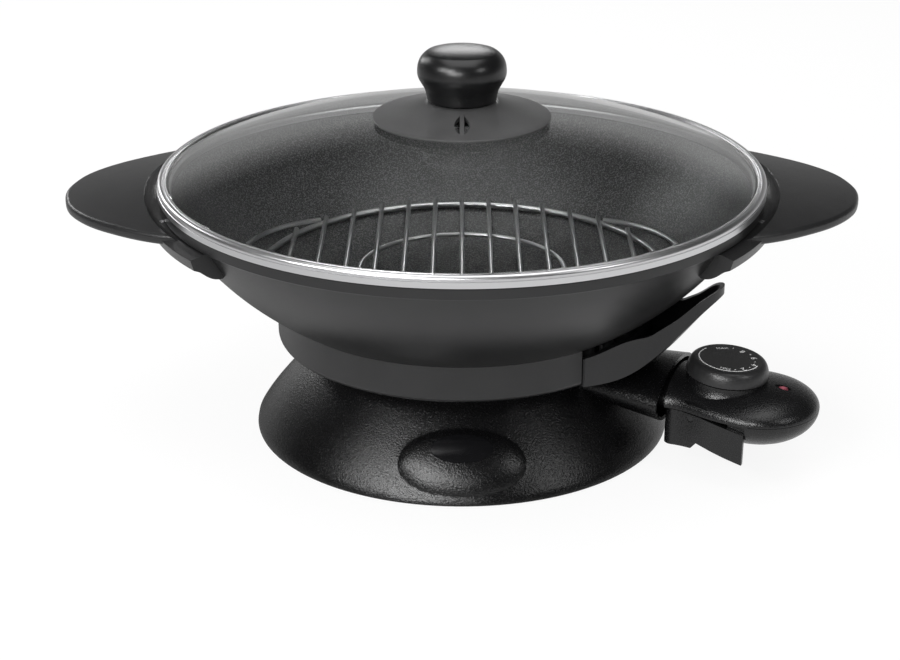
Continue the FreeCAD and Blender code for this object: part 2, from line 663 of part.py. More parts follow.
def lock_retainer():
    lip_top = stud_end + stud_lug_thick
    top = seat_z - shell_wall
    inner = lock_r + 0.5
    cup = turned((lock_grip_r + 1.2, lip_top - 3), [
        (inner + 3, lip_top - 3), (inner + 3, top - 3), (42, top - 3), (42, top), (inner, top), (inner, lip_top),
        (lock_grip_r + 1.2, lip_top)])
    return cup.cut(around(post(small_screw_r, 38, 0, 0, 100), (90, 210, 330)))


def retainer_screws():
    return around(moved(screw(2.8, 1.8, small_screw_r, 5.2), 38, 0, seat_z - shell_wall - 3), (90, 210, 330))


# ---------- lid ----------

def dome(drop):
    # the glass's sphere, lowered by a thickness; returns its radius and centre height
    sag = glass_crown - glass_edge_top
    r = (glass_edge_r ** 2 + sag ** 2) / (2 * sag)
    return r - drop, glass_crown - r


def dome_z(radius, drop):
    r, centre = dome(drop)
    return centre + math.sqrt(r * r - radius * radius)


def lid_glass():
    def across(drop, r0, r1):
        middle = (r0 + r1) / 2
        return ("arc", (middle, dome_z(middle, drop)), (r1, dome_z(r1, drop)))
    hole = bolt_r + 2.5
    pane = turned((hole, dome_z(hole, 0)), [
        across(0, hole, glass_edge_r - 1), ("arc", (glass_edge_r, dome_z(glass_edge_r, 2)),
                                            (glass_edge_r - 1, dome_z(glass_edge_r - 1, 4))),
        across(glass_thick, glass_edge_r - 1, hole)])
    vents = [post(2.5, 0, -r, 100, 300) for r in (33, 43)]
    return pane.cut(vents)


def lid_rim():
    b, top = rim_bottom, rim_bottom + rim_height
    slot = glass_edge_r + 0.3
    return turned((rim_r, b), [
        (rim_r, b + 3.3), (rim_r - 0.6, b + 3.6), (rim_r - 0.6, b + 4.0), (rim_r - 0.1, b + 4.3),
        ("arc", (rim_r - 0.8, top - 0.7), (rim_r - 2.4, top)), (rim_r - 4.6, top),
        ("arc", (rim_r - 5.5, top - 0.3), (rim_r - 5.7, dome_z(rim_r - 5.7, 0) + 0.1)),
        (slot, glass_edge_top + 0.1), (slot, b + 0.9), (rim_r - 8.2, b + 0.9), (rim_r - 9.3, b - 0.1),
        (rim_r - 9.3, b - 3.8), (rim_r - 8.4, b - 3.8), (rim_r - 8.4, b)])


def lid_gasket():
    b = rim_bottom + 0.9
    seal = turned((rim_r - 8.0, b), [(glass_edge_r - 1.0, b), (glass_edge_r - 1.0, b + 6), (rim_r - 8.0, b + 6)])
    r, centre = dome(glass_thick)
    ball = Part.makeSphere(r - 0.1, V(0, 0, centre))
    return seal.common(ball)


def lid_washers():
    upper = ring(bolt_r, 9.5, dome_z(9.5, 0), glass_crown + 1.2)
    ball = Part.makeSphere(dome(0)[0], V(0, 0, dome(0)[1]))
    lower = ring(bolt_r, 11, glass_crown - glass_thick - 2, glass_crown - glass_thick)
    inner_ball = Part.makeSphere(dome(glass_thick)[0], V(0, 0, dome(glass_thick)[1]))
    return [upper.cut(ball), lower.common(inner_ball)]


def lid_spacer():
    return ring(bolt_r, spacer_r, glass_crown + 1.2, knob_bottom)


def lid_bolt():
    head_top = glass_crown - glass_thick - 2
    head = turned((0, head_top), [(9, head_top), (8.4, head_top - 2), ("arc", (5, head_top - 3.1), (0, head_top - 3.5))])
    shank = post(bolt_r, 0, 0, head_top - 0.01, knob_bottom + 16)
    return head.fuse(shank).cut(block(-6, 6, -0.7, 0.7, head_top - 5, head_top - 1.8))


def lid_knob():
    b, t = knob_bottom, knob_top
    knob = turned((0, b), [
        (knob_root_r - 0.8, b), (knob_root_r, b + 0.8), ("bend", (knob_root_r + 0.8, b + 5), (knob_neck_r, b + 7.5)),
        ("bend", (knob_neck_r + 1.6, b + 10.2), (knob_neck_r + 3.2, b + 13)),
        ("bend", (knob_r + 0.4, b + 15.6), (knob_r, b + 19.5)),
        ("bend", (knob_r - 0.4, t - 5.6), (knob_r - 6, t - 2.3)), ("bend", (knob_r - 13, t - 0.1), (0, t))])
    return knob.cut(post(bolt_r, 0, 0, b - 1, b + 16))


def vent_dial():
    e = skirt_edge
    hub_top = knob_bottom - running_gap
    under = glass_crown + 1.2 + running_gap
    w = skirt_wall
    plate = turned((spacer_r + shaft_gap, hub_top), [
        (spacer_r + shaft_gap, under), (14, under), (16, hub_top - 2 * w), (22, hub_top - 2 * w),
        ("bend", (31, e + 4.2 - w), (skirt_r - 1, e - w)), (skirt_r - 0.2, e - w), (skirt_r, e - w + 0.3),
        (skirt_r, e - 0.4), (skirt_r - 0.6, e), ("bend", (31, e + 5.2), (knob_root_r + 0.6, hub_top))])
    mid, long_half, wide_half = 37.0, 11.0, 4.6
    slot = lens(long_half, wide_half, 60)
    slot.translate(V(mid, 0, e - 10))
    opening = spun(slot, -90).cut(block(-1.3, 1.3, -60, -10, 0, 400))
    rib = spun(rib_fin(mid, long_half), -90)
    return plate.cut(opening).fuse(rib)


def lens(long_half, wide_half, high):
    # an almond: two arcs that meet in points
    tips = [V(-long_half, 0, 0), V(long_half, 0, 0)]
    arcs = [Part.Arc(tips[0], V(0, wide_half, 0), tips[1]).toShape(),
            Part.Arc(tips[1], V(0, -wide_half, 0), tips[0]).toShape()]
    return Part.Face(Part.Wire(arcs)).extrude(V(0, 0, high))


def rib_fin(mid, long_half):
    e = skirt_edge
    fin = face_of((mid - long_half, e + 7.7), [
        ("bend", (mid, e + 5.4), (mid + long_half, e + 1.4)), (mid + long_half, e - 0.3), (mid - long_half, e + 5.6)])
    fin.translate(V(0, -1.3, 0))
    return fin.extrude(V(0, 2.6, 0))


# ---------- rack ----------

def rack_z():
    return bowl_height(rack_r, bowl_wall + rack_wire + running_gap)


def torus(r, wire, z):
    return Part.makeTorus(r, wire, V(0, 0, z))


def rod_z():
    return rack_z() + rack_wire + rod_wire - weld


def rack_rods():
    rods = []
    for k in range(-rods_each_side, rods_each_side + 1):
        x = k * rod_pitch
        half = math.sqrt(rack_r ** 2 - x ** 2) + rack_wire * 0.6
        rods.append(Part.makeCylinder(rod_wire, 2 * half, V(x, -half, rod_z()), V(0, 1, 0)))
    return rods


def rack_loops():
    a = math.radians(loop_half_angle)
    low = rack_z() + rack_wire + rod_wire - weld
    high = bowl_height(loop_reach, bowl_wall + rod_wire + 2 * running_gap)
    loops = []
    for side in (1, -1):
        ends = [V(side * rack_r * math.cos(a), way * rack_r * math.sin(a), low) for way in (-1, 1)]
        arc = Part.Arc(ends[0], V(side * loop_reach, 0, high), ends[1]).toShape()
        tangent = arc.tangentAt(arc.FirstParameter)
        section = Part.Wire([Part.Circle(arc.Vertexes[0].Point, tangent, rod_wire).toShape()])
        loops.append(Part.Wire([arc]).makePipeShell([section], True, False))
    return loops


# ---------- probe ----------

def body_section(s, w, up, down):
    # an ellipse that is split level with the shells: its upper and lower halves differ in height
    centre, side = V(s, 0, split_z), V(s, w, split_z)
    upper = Part.ArcOfEllipse(Part.Ellipse(side, V(s, 0, split_z + up), centre), 0, math.pi)
    lower = Part.ArcOfEllipse(Part.Ellipse(side, V(s, 0, split_z + down), centre), math.pi, 2 * math.pi)
    return Part.Wire([upper.toShape(), lower.toShape()])


def body_stations():
    # distance out, half width, rise above the split, drop below it
    return [(body_in, 28.2, 15.5, 12.0), (156.0, 29.5, 15.3, 15.0), (168.0, 33.2, 14.8, 18.5),
            (180.0, 36.2, 14.2, 20.8), (body_mid, body_round, 14.0, body_drop)]


def probe_bulk(inset):
    # one loft through the stations and on round the far end, where the section shrinks to a point
    rows = [(s, w - inset, up - inset, down - inset) for s, w, up, down in body_stations()]
    s, w, up, down = rows[-1]
    for angle in (24, 44, 60, 73, 83):
        a = math.radians(angle)
        rows.append((s + w * math.sin(a), w * math.cos(a), up * math.cos(a), down * math.cos(a)))
    wires = [body_section(*row) for row in rows] + [Part.Vertex(V(s + w, 0, split_z))]
    whole = Part.makeLoft(wires, True, False)
    return whole.cut(block(0, body_in + inset, -60, 60, 0, 100)) if inset else whole


def dial_frame(shape):
    placed = shape.copy()
    placed.rotate(V(), V(0, 1, 0), dial_tilt)
    placed.translate(V(dial_s, 0, dial_z))
    return placed


def turret(inset):
    r, top = turret_r - inset, -inset
    return dial_frame(turned((0, top), [
        (r - 1.2, top), (r, top - 0.8), ("bend", (r + 0.6, -9.0), (r + turret_flare, -12.0)),
        (r + turret_flare - 2, -16.0), (0, -16.0)]))


def body_post_places():
    return [(153.5, -14), (153.5, 14), (206.0, -20), (206.0, 20)]


def gland_frame(shape):
    # on the far side of the probe's round end, below the joint of its shells and square to it
    placed = shape.copy()
    placed.rotate(V(), V(0, 1, 0), gland_dip)
    placed.translate(V(body_round * math.sqrt(1 - (gland_drop / body_drop) ** 2), 0, -gland_drop))
    placed.rotate(V(), UP, gland_angle)
    placed.translate(V(body_mid, 0, split_z))
    return placed


def along_s(r, s0, s1, y, z):
    return Part.makeCylinder(r, s1 - s0, V(s0, y, z), V(1, 0, 0))


def nose_solid():
    wires = [oval(nose_in, nose_half - 1.6, nose_rise - 1.2, terminal_z),
             oval(nose_in + 3, nose_half, nose_rise, terminal_z), oval(nose_end, nose_half, nose_rise, terminal_z)]
    return Part.makeLoft(wires, True, True)


def probe_nose():
    holes = [along_s(sleeve_r, nose_in - 1, nose_end + 1, side * terminal_gap, terminal_z) for side in (-1, 1)]
    return at_probe(nose_solid().cut(holes + [along_s(sensor_r, nose_in - 1, nose_end + 1, 0, terminal_z)]))


def contact_sleeves():
    tubes = []
    for side in (-1, 1):
        y = side * terminal_gap
        tube = along_s(sleeve_r, nose_in + 0.6, nose_end, y, terminal_z)
        tubes.append(at_probe(tube.cut(along_s(pin_r + 0.1, nose_in, pin_end + 5, y, terminal_z))))
    return tubes


def sensor_rod():
    rod = along_s(sensor_r, socket_in + 6.3 + sensor_r, nose_end + 3, 0, terminal_z)
    return at_probe(rod.fuse(Part.makeSphere(sensor_r, V(socket_in + 6.3 + sensor_r, 0, terminal_z))))


def probe_upper_shell():
    over = block(body_in, 300, -60, 60, split_z, 100)
    outside = probe_bulk(0).fuse(turret(0)).common(over)
    inside = probe_bulk(body_wall).fuse(turret(body_wall))
    shell = outside.cut(inside)
    posts = [post(3.3, s, y, split_z, split_z + 14).common(outside) for s, y in body_post_places()]
    shell = shell.fuse(posts)
    cuts = [nose_solid(), dial_frame(post(dial_shaft_r + shaft_gap, 0, 0, -6, 2))]
    cuts += [post(small_screw_r, s, y, split_z - 1, split_z + 8) for s, y in body_post_places()]
    cuts.append(moved(lens(lamp_long / 2, lamp_wide / 2, 20), lamp_s, 0, lamp_floor))
    cuts.append(moved(lens(lamp_long * 0.29, lamp_wide * 0.31, 20), lamp_s, 0, lamp_floor - 5))
    return at_probe(max(shell.cut(cuts).Solids, key=lambda s: s.Volume))


def body_plan(inset):
    # the probe's outline from above, drawn in by an inset, as a tall prism with rounded front corners
    side = [(s, w - inset) for s, w, up, down in body_stations()]
    side = [(trigger_front - 0.5 + inset, side[0][1])] + [p for p in side if p[0] > trigger_front + 8]
    curve = Part.BSplineCurve()
    curve.interpolate([V(s, w, 0) for s, w in side + [(205.0, side[-1][1])]])
    other = curve.toShape().mirror(V(), V(0, 1, 0))
    near, far = V(side[0][0], side[0][1], 0), V(205.0, side[-1][1], 0)
    edges = [curve.toShape(), seg(far, V(far.x, -far.y, 0)), other, seg(V(near.x, -near.y, 0), near)]
    prism = Part.Face(Part.Wire(edges)).extrude(V(0, 0, 70))
    corners = [e for e in prism.Edges if e.Length == 70 and e.Vertexes[0].X < trigger_front + 6]
    return prism.makeFillet(7.0 - inset, corners) if corners else prism


def side_cut(start, moves):
    # a shape drawn from the side, as wide as the probe
    return moved(face_of(start, moves), 0, -60, 0).extrude(V(0, 120, 0))


def probe_lower_shell():
    inner, wall = 4.1, body_wall
    belly_in = 183.5
    bulk, plan = probe_bulk(0).common(block(0, 300, -60, 60, 0, split_z)), body_plan(inner)
    arm_room = side_cut((130, 0), [(198.0, 0), (197.6, 15), (194.8, 36), (194.6, 50), (130, 50)]).cut(plan)
    keel = block(body_in + 2, belly_in + 1, -keel_half, keel_half, keel_bottom, split_z)
    deck = plan.common(block(nose_end + 0.2, 196, -60, 60, trigger_pivot_z + 2.4, split_z))
    belly = bulk.common(block(belly_in, 300, -60, 60, 0, split_z)).cut(arm_room)
    solid = keel.fuse([deck, belly])
    hollow, inner_plan = probe_bulk(wall), body_plan(inner + wall)
    room = [block(body_in + 2 + wall, belly_in + 5, -keel_half + wall, keel_half - wall, keel_bottom + wall, 60),
            hollow.common(block(201, 300, -60, 60, 0, 60)),
            hollow.common(inner_plan).common(block(belly_in + wall, 201.5, -60, 60, 0, 60))]
    solid = solid.cut(room)
    tubes = []
    for s, y in body_post_places():
        low = keel_bottom if s < belly_in else split_z - 16
        tubes.append(post(4.6, s, y, low, split_z))
    solid = solid.fuse([t.common(bulk) for t in tubes])
    cuts = [nose_solid(), Part.makeCylinder(trigger_pin_r, 80, V(trigger_pivot_s, -40, trigger_pivot_z), V(0, 1, 0)),
            gland_frame(along_s(gland_r, -7, 4, 0, 0))]
    cuts.append(bulk.cut(probe_bulk(0.8)).common(block(belly_in + 13, 300, -60, 60, split_z - 0.3, split_z)))
    for s, y in body_post_places():
        head = keel_bottom + 2.6 if s < belly_in else split_z - 8
        cuts += [post(3.0, s, y, 0, head), post(small_screw_r, s, y, 0, 60)]
    return at_probe(max(solid.cut(cuts).Solids, key=lambda s: s.Volume))


def probe_screws():
    screws = []
    for s, y in body_post_places():
        head = keel_bottom + 2.6 if s < body_mid else split_z - 8
        screws.append(at_probe(moved(screw(2.8, 1.8, small_screw_r, split_z + 7 - head), s, y, head)))
    return screws


def thermostat():
    box = block(160, 188, -24, 24, split_z, split_z + 1.4).fuse(block(162, 186, -15, 15, split_z + 1, split_z + 8.5))
    can = dial_frame(post(9, 0, 0, -13, -4))
    return at_probe(box.fuse(can).cut(dial_frame(post(dial_shaft_r + shaft_gap, 0, 0, -14.5, 0))))


def lamp_lens():
    gem = lens(lamp_long * 0.29, lamp_wide * 0.31, 4.2)
    return at_probe(moved(gem, lamp_s, 0, lamp_floor - 3))


def pilot_lamp():
    return at_probe(post(2.6, lamp_s, 0, lamp_floor - 8, lamp_floor - 3))


def cord_gland():
    r = gland_r
    boot = turned((r - 1.8, -5), [(r, -5), (r, 0.3), (r + 0.7, 0.3), (r + 0.7, 2.0), (r + 0.2, 2.6),
                                  (r - 0.7, 11), (r - 1.8, 11)])
    boot.rotate(V(), V(0, 1, 0), 90)
    return at_probe(gland_frame(boot))


def across(r, s, z, y0, y1):
    return Part.makeCylinder(r, y1 - y0, V(s, y0, z), V(0, 1, 0))


def trigger_pin():
    return at_probe(across(trigger_pin_r, trigger_pivot_s, trigger_pivot_z, -29.2, 29.2))


def trigger_spring():
    # a close-wound torsion coil round the pin, with two legs on the keel's floor
    wire, turns, bore = 0.55, 5, trigger_pin_r + 0.25
    length = 2 * wire * turns
    turns_line = []
    for k in range(turns):
        y = -length / 2 + 2 * wire * k
        turns_line.append(("arc", (bore + 2 * wire, y + wire), (bore + wire, y + 2 * wire)))
    coil = turned((bore + wire, -length / 2), turns_line + [(bore, length / 2), (bore, -length / 2)])
    coil.rotate(V(), V(1, 0, 0), 90)
    reach = trigger_pivot_s - nose_end - 1
    legs = [Part.makeCylinder(wire, reach, V(0, y, -bore - wire), V(way, 0, -0.08))
            for y, way in ((wire - length / 2, 1), (length / 2 - wire, -1))]
    return at_probe(moved(coil.fuse(legs), trigger_pivot_s, 0, trigger_pivot_z))


def dial_knob():
    h = dial_high
    body = turned((0, h), [
        (dial_face_r - 1, h), (dial_face_r, h - 0.3), ("bend", (dial_r - 0.9, h - 1.4), (dial_r, 1.0)),
        (dial_r, running_gap), (dial_r - 2.2, running_gap), (dial_face_r - 1.8, h - 2.2), (6, h - 2.2),
        (6, 0.6), (dial_shaft_r, 0.6), (dial_shaft_r, h - 1.8), (0, h - 1.8)])
    return at_probe(dial_frame(body))


def dial_shaft():
    return at_probe(dial_frame(post(dial_shaft_r, 0, 0, -13, dial_high - 1.8)))


def trigger_lever():
    s0, tip = trigger_front, trigger_tip
    profile = side_cut((s0, 41.4), [
        (s0, 17.8), (161.0, 19.3), (164.5, 23.6), ("bend", (178.0, 20.9), (tip, 16.8)), (tip + 0.2, 36.0),
        ("bend", (181.0, 39.4), (166.0, 40.9)), (152.0, 41.4)])
    floor = side_cut((s0, 17.8), [(161.0, 19.3), (161.0, 22.3), (s0, 20.8)])
    finger = side_cut((166.0, 23.4), [(180.0, 20.5), (180.0, 23.5), (166.0, 26.4)])
    outer = body_plan(0.5)
    band = outer.cut(body_plan(0.5 + trigger_wall)).common(profile)
    lever = band.fuse([outer.common(floor), outer.common(finger)])
    mouth = block(130, s0 + 6, -nose_half - 0.2, nose_half + 0.2, keel_bottom - 1, 60)
    pin_hole = across(trigger_pin_r + shaft_gap, trigger_pivot_s, trigger_pivot_z, -40, 40)
    return at_probe(max(lever.cut([mouth, pin_hole]).Solids, key=lambda s: s.Volume))


# ---------- the files ----------

parts = {
    "base_shell": base_shell(), "base_feet": base_feet(), "base_badge": base_badge(),
    "lock_retainer": lock_retainer(), "retainer_screws": retainer_screws(), "lock_knob": lock_knob(),
    "wok_bowl": bowl(), "heating_element": heating_element(), "terminal_block": terminal_block(),
    "terminal_pins": terminal_pins(), "block_screws": block_screws(), "bayonet_stud": bayonet_stud(),
    "stud_screw": stud_screw(), "bowl_collar": collar(), "collar_screws": collar_screws(),
    "probe_shield": probe_shield(), "shield_screws": shield_screws(),
    "right_handle": handle(), "left_handle": spun(handle(), 180), "handle_screws": handle_screws(),
    "lid_glass": lid_glass(), "lid_rim": lid_rim(), "lid_gasket": lid_gasket(), "lid_washers": lid_washers(),
    "lid_spacer": lid_spacer(), "lid_bolt": lid_bolt(), "lid_knob": lid_knob(), "vent_dial": vent_dial(),
    "rack_outer_ring": torus(rack_r, rack_wire, rack_z()),
    "rack_inner_ring": torus(rack_inner_r, rod_wire, rod_z() - 2 * rod_wire + weld),
    "rack_rods": rack_rods(), "rack_loops": rack_loops(),
    "probe_upper_shell": probe_upper_shell(), "probe_lower_shell": probe_lower_shell(),
    "probe_nose": probe_nose(), "contact_sleeves": contact_sleeves(), "sensor_rod": sensor_rod(),
    "thermostat": thermostat(), "pilot_lamp": pilot_lamp(), "lamp_lens": lamp_lens(),
    "probe_screws": probe_screws(), "cord_gland": cord_gland(), "trigger_pin": trigger_pin(),
    "trigger_spring": trigger_spring(), "dial_knob": dial_knob(), "dial_shaft": dial_shaft(),
    "trigger_lever": trigger_lever(),
}

os.makedirs("parts", exist_ok=True)
for name, shape in parts.items():
    if isinstance(shape, list):
        shape = Part.makeCompound(shape)
    shape.exportStep("parts/" + name + ".step")
    box = shape.BoundBox
    print("%-18s solids %2d volume %9.0f  x %7.1f %7.1f  y %7.1f %7.1f  z %6.1f %6.1f %s" % (
        name, len(shape.Solids), shape.Volume, box.XMin, box.XMax, box.YMin, box.YMax, box.ZMin, box.ZMax,
        "" if shape.isValid() else "not valid"))
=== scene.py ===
import json
import math
import bpy
import numpy as np
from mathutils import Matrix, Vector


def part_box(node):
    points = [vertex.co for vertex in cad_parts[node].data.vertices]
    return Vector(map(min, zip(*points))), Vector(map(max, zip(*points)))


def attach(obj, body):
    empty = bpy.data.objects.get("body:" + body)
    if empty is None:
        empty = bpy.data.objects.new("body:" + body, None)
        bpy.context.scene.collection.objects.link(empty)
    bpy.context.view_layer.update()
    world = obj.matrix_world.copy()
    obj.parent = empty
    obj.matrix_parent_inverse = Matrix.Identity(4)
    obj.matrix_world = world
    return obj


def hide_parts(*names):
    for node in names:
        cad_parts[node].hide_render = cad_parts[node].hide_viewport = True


# Dresses the electric wok: finishes on its moulded, cast and wire parts, fine skins on its lid, print on its
# dial, lamps and camera. Metres, +Z up, front towards -Y; the lid's and the dial's sizes are millimetres.

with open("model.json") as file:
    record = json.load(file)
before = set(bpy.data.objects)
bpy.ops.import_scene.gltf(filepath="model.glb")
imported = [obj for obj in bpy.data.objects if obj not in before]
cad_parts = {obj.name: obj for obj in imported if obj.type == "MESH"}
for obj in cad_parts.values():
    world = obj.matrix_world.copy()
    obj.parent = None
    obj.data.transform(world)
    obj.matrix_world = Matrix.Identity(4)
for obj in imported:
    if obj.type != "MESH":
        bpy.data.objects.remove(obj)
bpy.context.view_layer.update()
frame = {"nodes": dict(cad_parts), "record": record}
nodes = frame["nodes"]
print("stage: model loaded,", len(nodes), "nodes")


def feed(tree, target, value):
    # a socket is linked to the input, anything else becomes the input's own value
    if isinstance(value, bpy.types.NodeSocket):
        tree.links.new(value, target)
    else:
        target.default_value = value


def addNode(tree, kind, *ordered, **named):
    # a node whose inputs are fed in their order or by name; a name that is no input is one of its settings
    made = tree.nodes.new(kind)
    for key, value in named.items():
        if key in made.inputs:
            feed(tree, made.inputs[key], value)
        else:
            setattr(made, key, value)
    for target, value in zip(made.inputs, ordered):
        feed(tree, target, value)
    return made


def worked(tree, operation, *numbers, **named):
    # one number from others, such as their product
    return addNode(tree, "ShaderNodeMath", *numbers, operation=operation, **named).outputs[0]


def measured(tree, operation, *vectors):
    # one number from two vectors, such as their distance
    return addNode(tree, "ShaderNodeVectorMath", *vectors, operation=operation).outputs["Value"]


def mixed(tree, share, first, second):
    # only the first shader where the share is 0, only the second where it is 1
    return addNode(tree, "ShaderNodeMixShader", share, first, second).outputs[0]


def objectPlace(tree):
    return addNode(tree, "ShaderNodeTexCoord").outputs["Object"]


def objectNoise(tree, scale, detail=2.0, stretch=(1, 1, 1)):
    # noise in the piece's own metres, so that it stays on the piece when a joint moves it
    place = addNode(tree, "ShaderNodeMapping", objectPlace(tree), Scale=stretch).outputs["Vector"]
    return addNode(tree, "ShaderNodeTexNoise", place, Scale=scale, Detail=detail).outputs["Fac"]


def ramp(tree, source, lowColor, highColor, low=0.3, high=0.7):
    # changes from one colour to the other between low and high; noise mostly falls between 0.3 and 0.7
    made = addNode(tree, "ShaderNodeValToRGB", source)
    for element, position, color in zip(made.color_ramp.elements, (low, high), (lowColor, highColor)):
        element.position = position
        element.color = (*color, 1.0)
    return made.outputs["Color"]


def newMaterial(name, color, roughness, metallic=0.0, specular=0.5):
    # a principled surface whose constants sit on the shader's own sockets
    material = bpy.data.materials.new(name)
    material.use_nodes = True
    shader = material.node_tree.nodes["Principled BSDF"]
    shader.inputs["Base Color"].default_value = (*color, 1.0)
    shader.inputs["Roughness"].default_value = roughness
    shader.inputs["Metallic"].default_value = metallic
    shader.inputs["Specular IOR Level"].default_value = specular
    material.diffuse_color = (*color, 1.0)
    return material, material.node_tree, shader


def bumpFrom(tree, shader, height, strength, distance):
    bump = addNode(tree, "ShaderNodeBump", Strength=strength, Distance=distance, Height=height)
    feed(tree, shader.inputs["Normal"], bump.outputs["Normal"])


def glossFrom(tree, shader, pattern, roughness, spread):
    # the roughness follows a pattern, a little to either side of its own value
    gloss = ramp(tree, pattern, (roughness - spread,) * 3, (roughness + spread,) * 3)
    feed(tree, shader.inputs["Roughness"], gloss)


def patchy(tree, look, detail):
    # the look's own colour, a little darker and a little lighter in soft patches
    darker, lighter = ([c * (1 + way * look["patch"]) for c in look["color"]] for way in (-1, 1))
    return ramp(tree, objectNoise(tree, look["patchScale"], detail), darker, lighter)


pedestalLook = {"color": (0.0022, 0.0022, 0.0024), "roughness": 0.25, "glint": 0.05, "grainScale": 1000.0,
                "grainStrength": 0.40, "grainDepth": 0.0006, "patchScale": 40.0, "patch": 0.15}
probeLook = dict(pedestalLook, color=(0.0050, 0.0050, 0.0054), roughness=0.27, grainStrength=0.35)
handleLook = dict(pedestalLook, color=(0.0120, 0.0120, 0.0124), roughness=0.33, grainStrength=0.2, glint=0.03)
knobLook = dict(pedestalLook, color=(0.0050, 0.0050, 0.0054), roughness=0.30, grainStrength=0.08, glint=0.02)
collarLook = dict(pedestalLook, color=(0.0110, 0.0110, 0.0114), roughness=0.36, grainStrength=0.15, glint=0.03)
shieldLook = dict(pedestalLook, color=(0.0085, 0.0085, 0.0090), roughness=0.32, grainStrength=0.2, glint=0.04)
dialLook = dict(pedestalLook, color=(0.0180, 0.0180, 0.0185), roughness=0.34, grainStrength=0.20)
ventLook = dict(pedestalLook, color=(0.0480, 0.0480, 0.0485), roughness=0.42, grainStrength=0.06, glint=0.02)
badgeLook = dict(handleLook, color=(0.004, 0.004, 0.0045), roughness=0.16, grainStrength=0.04)
rubberLook = dict(pedestalLook, color=(0.02, 0.02, 0.02), roughness=0.75)
sealLook = dict(handleLook, color=(0.03, 0.03, 0.03), roughness=0.5)
insulatorLook = dict(handleLook, color=(0.10, 0.095, 0.09), roughness=0.55)
lampBodyLook = dict(handleLook, color=(0.45, 0.45, 0.45), roughness=0.5)


def mouldedPlastic(name, look):
    # a spark-eroded mould's texture: fine grains in height, faint patches in colour, gloss that follows them
    material, tree, shader = newMaterial(name, look["color"], look["roughness"])
    grain = objectNoise(tree, look["grainScale"], detail=3.0)
    bumpFrom(tree, shader, grain, look["grainStrength"], look["grainDepth"])
    glossFrom(tree, shader, grain, look["roughness"], look["glint"])
    feed(tree, shader.inputs["Base Color"], patchy(tree, look, detail=3.0))
    return material


coatingLook = {"color": (0.0100, 0.0100, 0.0104), "roughness": 0.33, "patchScale": 60.0, "patch": 0.08,
               "speckScale": 2400.0, "speckStrength": 0.22, "speckDepth": 0.0003, "insideAbove": 0.0665,
               "insideColor": (0.022, 0.022, 0.023), "fleckColor": (0.17, 0.17, 0.172), "fleckScale": 1100.0,
               "fleckFrom": 0.46, "fleckTo": 0.66}


def facesInside(tree, floorHigh):
    # 1 where a face turns towards the bowl's axis and lies above its floor, else 0
    place = objectPlace(tree)
    outward = addNode(tree, "ShaderNodeVectorMath", place, (1, 1, 0), operation="MULTIPLY").outputs["Vector"]
    normal = addNode(tree, "ShaderNodeNewGeometry").outputs["True Normal"]
    facing = measured(tree, "DOT_PRODUCT", outward, normal)
    high = addNode(tree, "ShaderNodeSeparateXYZ", place).outputs["Z"]
    return worked(tree, "MULTIPLY", worked(tree, "LESS_THAN", facing, 0.0),
                  worked(tree, "GREATER_THAN", high, floorHigh))


def bowlCoating(name, look):
    # a sprayed non-stick coat: satin outside; inside it is greyer, with metal flecks that catch the light
    material, tree, shader = newMaterial(name, look["color"], look["roughness"])
    bumpFrom(tree, shader, objectNoise(tree, look["speckScale"]), look["speckStrength"], look["speckDepth"])
    flecks = ramp(tree, objectNoise(tree, look["fleckScale"], detail=1.0), look["insideColor"],
                  look["fleckColor"], look["fleckFrom"], look["fleckTo"])
    coat = addNode(tree, "ShaderNodeMixRGB", facesInside(tree, look["insideAbove"]),
                   patchy(tree, look, detail=4.0), flecks)
    feed(tree, shader.inputs["Base Color"], coat.outputs["Color"])
    return material


rimLook = {"color": (0.70, 0.70, 0.71), "roughness": 0.30, "spread": 0.02, "lineScale": 300.0,
           "stretch": (1, 1, 1)}
wireLook = dict(rimLook, color=(0.82, 0.82, 0.83), roughness=0.34, spread=0.03)
sheathLook = dict(rimLook, color=(0.30, 0.29, 0.28), roughness=0.45, spread=0.06)
screwLook = dict(sheathLook, color=(0.55, 0.55, 0.56), roughness=0.3)
pinLook = dict(sheathLook, color=(0.60, 0.60, 0.61), roughness=0.24, stretch=(1, 1, 10))
brassLook = dict(pinLook, color=(0.75, 0.58, 0.30), roughness=0.28)


def metalFinish(name, look):
    # drawn or turned metal: its gloss varies a little, along the working direction where it is stretched
    material, tree, shader = newMaterial(name, look["color"], look["roughness"], metallic=1.0)
    lines = objectNoise(tree, look["lineScale"], stretch=look["stretch"])
    glossFrom(tree, shader, lines, look["roughness"], look["spread"])
    return material


glassLook = {"color": (0.97, 0.98, 0.975), "roughness": 0.0, "refraction": 1.5, "waveScale": 9.0,
             "waveStrength": 0.02, "waveDepth": 0.0005}


def clearGlass(name, look):
    # tempered glass: thin, clear, with the faintest waviness
    material, tree, shader = newMaterial(name, look["color"], look["roughness"])
    shader.inputs["Transmission Weight"].default_value = 1.0
    shader.inputs["IOR"].default_value = look["refraction"]
    wave = objectNoise(tree, look["waveScale"], detail=1.0)
    bumpFrom(tree, shader, wave, look["waveStrength"], look["waveDepth"])
    return material


# the middle colour is a painted glint, a pale pink highlight painted into the lens's colour; the rim colour is
# darker
lensLook = {"middle": (0.85, 0.22, 0.30), "rim": (0.03, 0.004, 0.006), "paintedGlintR": 0.0004, "rimR": 0.0036,
            "rampScale": 100.0, "roughness": 0.18}     # the scale brings the radii into a ramp's 0 to 1


